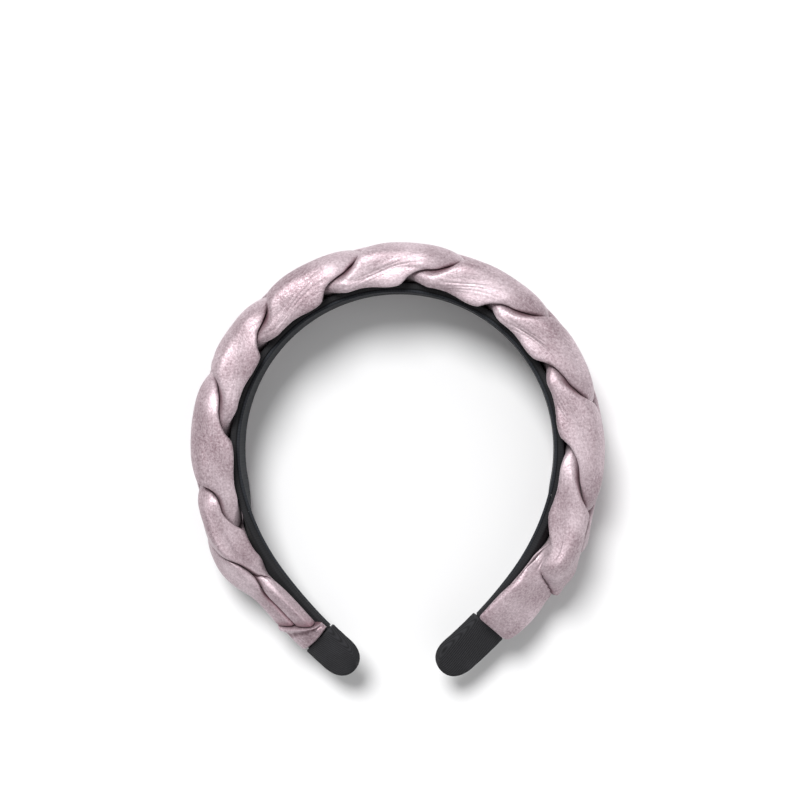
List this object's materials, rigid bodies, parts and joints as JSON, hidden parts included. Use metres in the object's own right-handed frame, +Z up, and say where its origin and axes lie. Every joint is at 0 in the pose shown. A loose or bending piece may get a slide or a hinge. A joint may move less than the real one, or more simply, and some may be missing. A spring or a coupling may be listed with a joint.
{
  "type": "plaited headband",
  "caption": "C-shaped hairband of padded satin strands plaited over a flat fabric-covered band, with ribbed sleeves on its narrowed tips; it holds hair back from the face.",
  "frame": {"origin": "on the surface the headband lies on, under the middle of its outline", "axes": "+Z up along the way the head goes in, +Y towards the top of the head, -Y towards the open end with the tips, +X towards the arm with the plain wide end of the plait"},
  "size_m": [0.1614, 0.1703, 0.0358],
  "materials": {
    "band_cover": "plain black woven cover",
    "lining_ribbon": "matt dark slate ribbon",
    "satin": "dusty pink satin with a fine sheen",
    "sleeve_ribbon": "black ribbed grosgrain"
  },
  "bodies": {
    "root": {"band": "band_cover", "inner_lining": "lining_ribbon", "plait_strand_a": "satin", "plait_strand_b": "satin", "plait_strand_c": "satin", "end_fold_left": "satin", "tip_sleeve_left": "sleeve_ribbon", "tip_sleeve_right": "sleeve_ribbon"}
  },
  "joints": []
}
